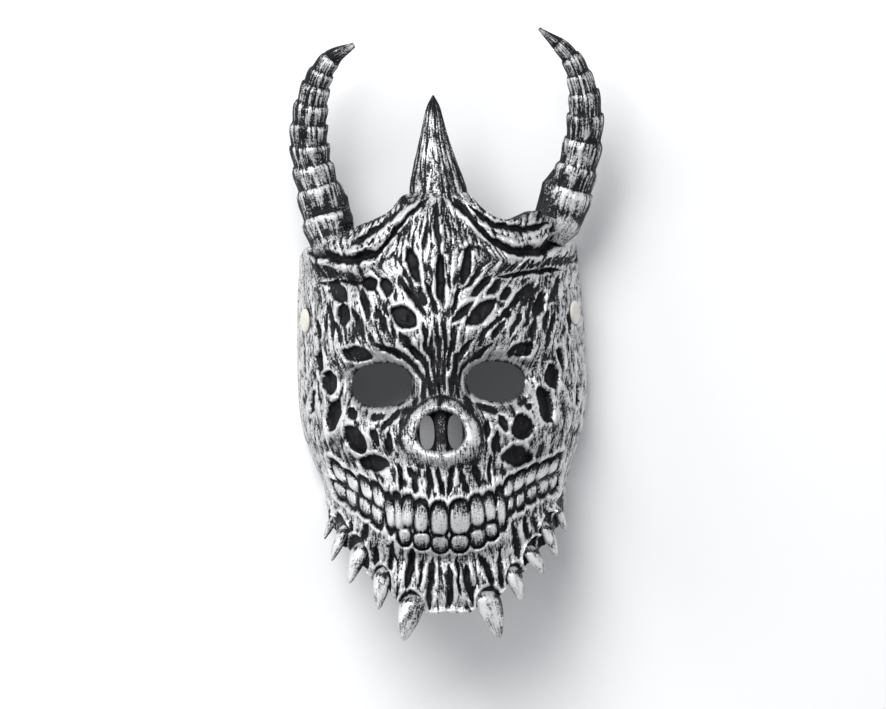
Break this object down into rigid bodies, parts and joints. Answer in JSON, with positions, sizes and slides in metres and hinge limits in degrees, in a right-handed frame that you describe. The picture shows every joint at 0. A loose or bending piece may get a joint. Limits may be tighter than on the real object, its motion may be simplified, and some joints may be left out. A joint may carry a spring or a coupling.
{
  "type": "horned skull costume mask",
  "caption": "Foam rubber face mask shaped as a horned demon skull, open eyes and nostrils, hollow behind, worn with a strap",
  "frame": {"origin": "under the middle of the overall box, on the ground that the mask lies on face up", "axes": "+X to the right of someone who looks at the face, +Y from the chin to the horns, +Z out of the face"},
  "size_m": [0.1786, 0.3414, 0.1117],
  "materials": {
    "painted_foam_rubber": "silver dry-brushed over black",
    "ivory_plastic": "satin"
  },
  "bodies": {
    "root": {"mask": "painted_foam_rubber", "rivet_left": "ivory_plastic", "rivet_right": "ivory_plastic"}
  },
  "joints": []
}
